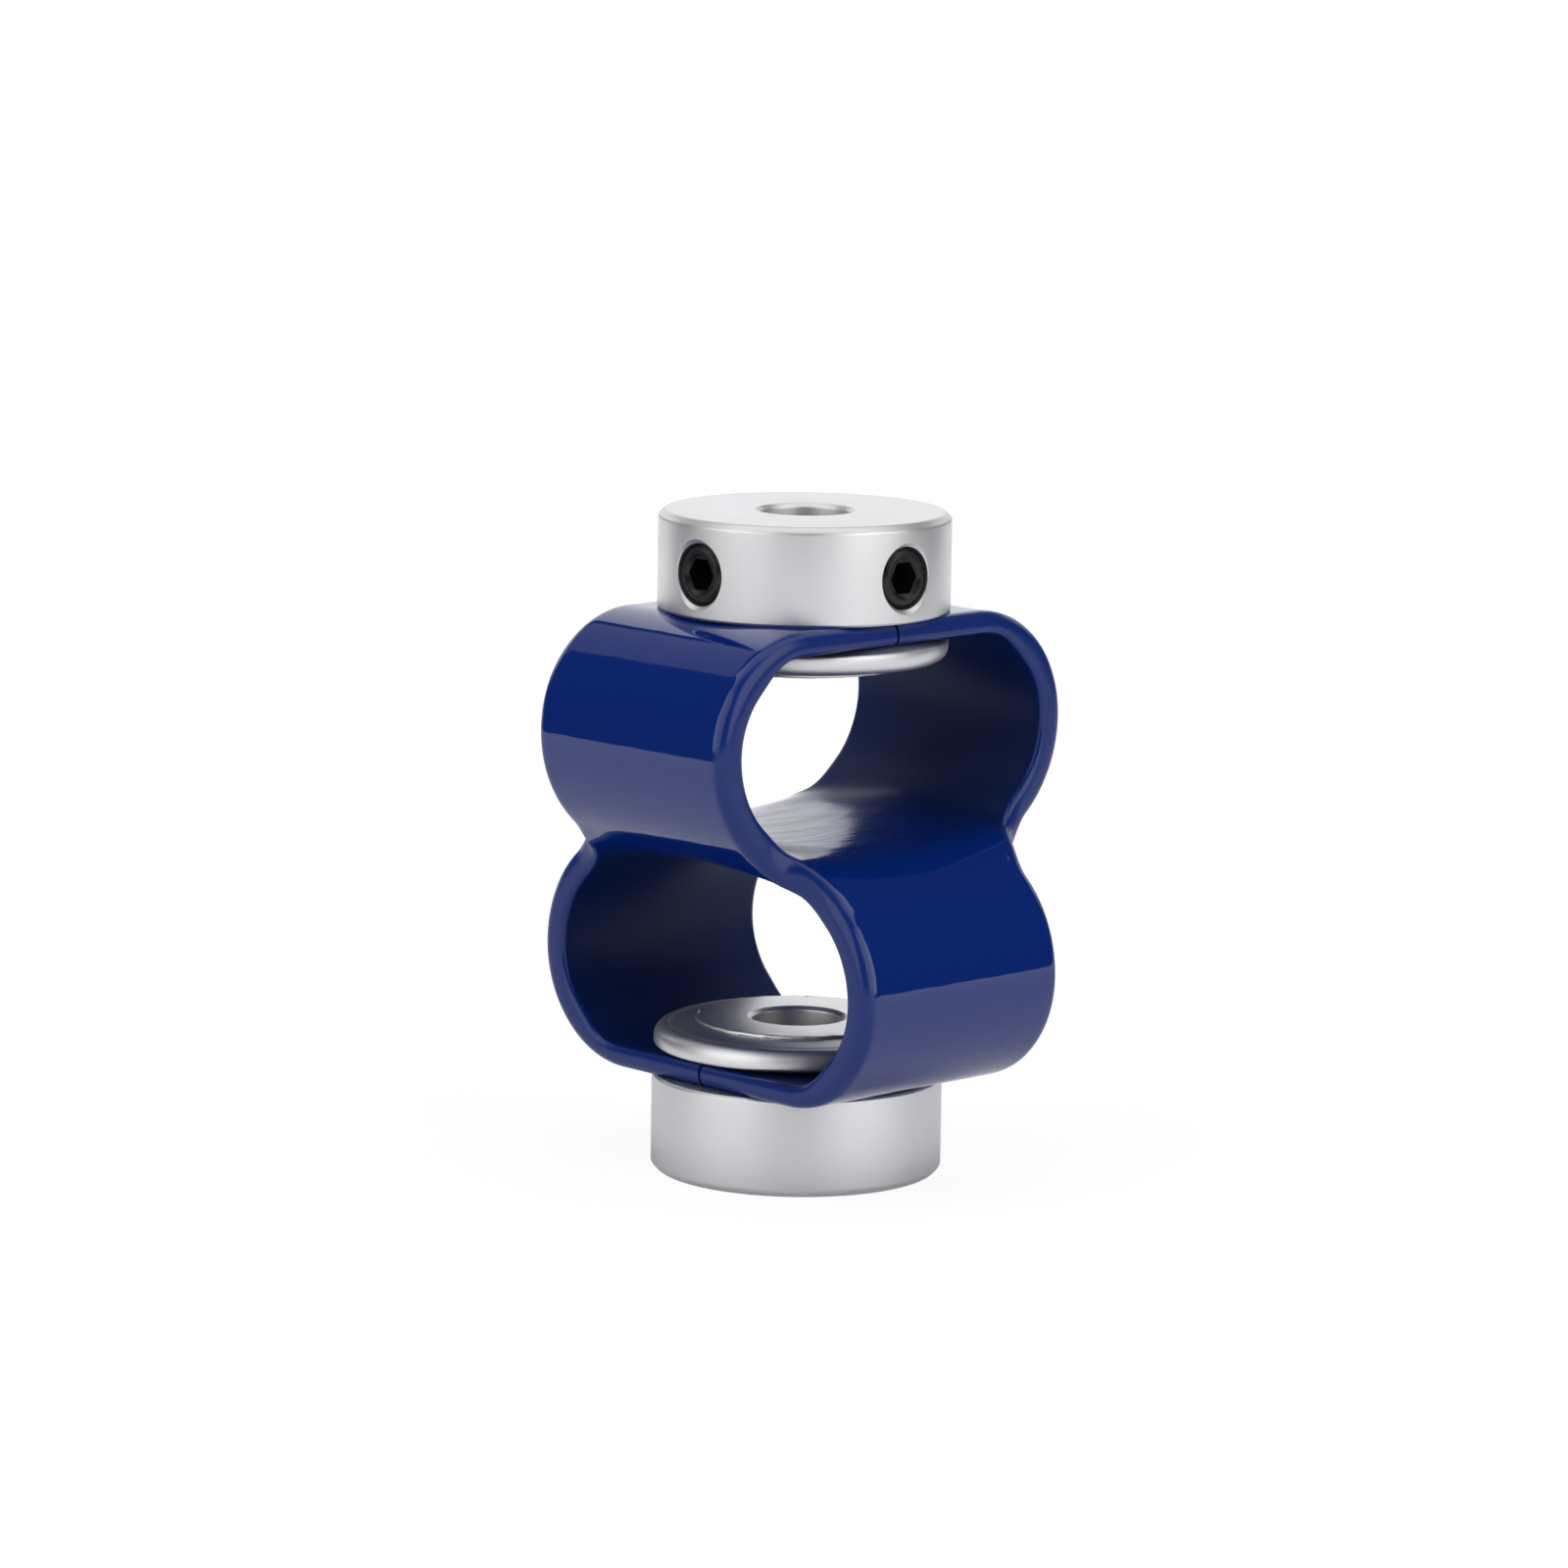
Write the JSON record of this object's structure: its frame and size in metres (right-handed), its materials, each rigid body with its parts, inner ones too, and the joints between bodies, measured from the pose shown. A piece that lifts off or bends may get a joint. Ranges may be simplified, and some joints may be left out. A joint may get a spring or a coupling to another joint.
{
  "type": "flexible coupling",
  "caption": "Double loop flexible shaft coupling: a cross-shaped plastic band bent into two crossed loops, with a bored and set-screwed hub at each end.",
  "frame": {"origin": "middle of the crossing between the two loops, on the shaft axis, which is the middle of the bounding box", "axes": "+Z along the shaft axis towards the upper hub, X along the bulge of the upper loop, Y along the bulge of the lower loop"},
  "size_m": [0.0308, 0.0308, 0.0434],
  "materials": {
    "band": "gloss, royal blue",
    "hub": "fine turned, satin",
    "washer": "turned, satin",
    "set_screw": "black oxide"
  },
  "bodies": {
    "root": {"loop_band": "band", "upper_hub": "hub", "lower_hub": "hub", "upper_washer": "washer", "lower_washer": "washer", "upper_set_screw_left": "set_screw", "upper_set_screw_right": "set_screw", "lower_set_screw_left": "set_screw", "lower_set_screw_right": "set_screw"}
  },
  "joints": []
}
